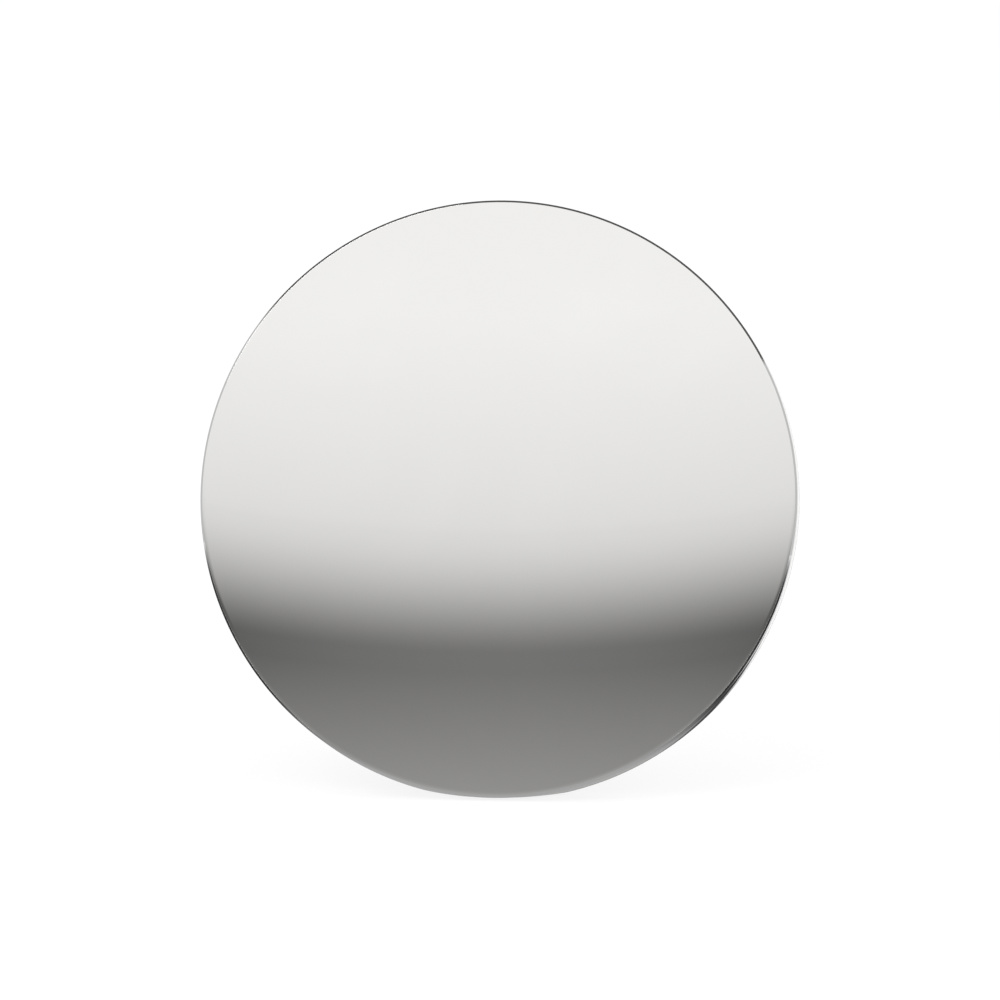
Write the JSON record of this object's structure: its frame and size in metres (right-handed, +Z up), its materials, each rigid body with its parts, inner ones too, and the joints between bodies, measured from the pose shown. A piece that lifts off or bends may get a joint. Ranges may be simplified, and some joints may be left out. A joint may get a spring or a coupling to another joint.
{
  "type": "countertop mirror",
  "caption": "Round frameless counter mirror: chamfered glass disc on a moulded body with a polished side band, leaning back on a folding rear leg.",
  "frame": {"origin": "on the counter, under the middle of the rubber strip below the disc's lower edge", "axes": "+Z up, -Y the way the glass faces, +X to the right as seen by someone looking into the mirror"},
  "size_m": [0.3, 0.1419, 0.2917],
  "materials": {
    "silvered_glass": "polished",
    "backing_film": "matte",
    "foam_tape": "matte",
    "black_moulding": "fine texture",
    "polished_band": "polished",
    "satin_steel": "satin",
    "spring_steel": "oiled",
    "nylon": "moulded",
    "rubber": "matte"
  },
  "bodies": {
    "mirror_head": {"mirror_glass": "silvered_glass", "safety_backing": "backing_film", "glass_tape_1": "foam_tape", "glass_tape_2": "foam_tape", "glass_tape_3": "foam_tape", "glass_tape_4": "foam_tape", "hub_tape": "foam_tape", "rear_housing": "black_moulding", "rim_band": "polished_band", "sole_pad": "rubber", "hinge_plate": "satin_steel", "hinge_bracket": "satin_steel", "hinge_pin": "satin_steel", "bracket_screw_1": "satin_steel", "bracket_screw_2": "satin_steel", "bracket_screw_3": "satin_steel", "bracket_screw_4": "satin_steel", "disc_spring_left": "spring_steel", "disc_spring_right": "spring_steel", "pin_clip_left": "spring_steel", "pin_clip_right": "spring_steel", "fold_bumper_left": "rubber", "fold_bumper_right": "rubber"},
    "leg": {"leg_plate": "satin_steel", "leg_bush_left": "nylon", "leg_bush_right": "nylon", "leg_foot": "rubber"}
  },
  "joints": [
    {"name": "leg_fold", "type": "hinge", "parent": "mirror_head", "child": "leg", "pos_m": [0, 0.06689, 0.19712], "axis": [-1, 0, 0], "range_deg": [0, 28]}
  ]
}
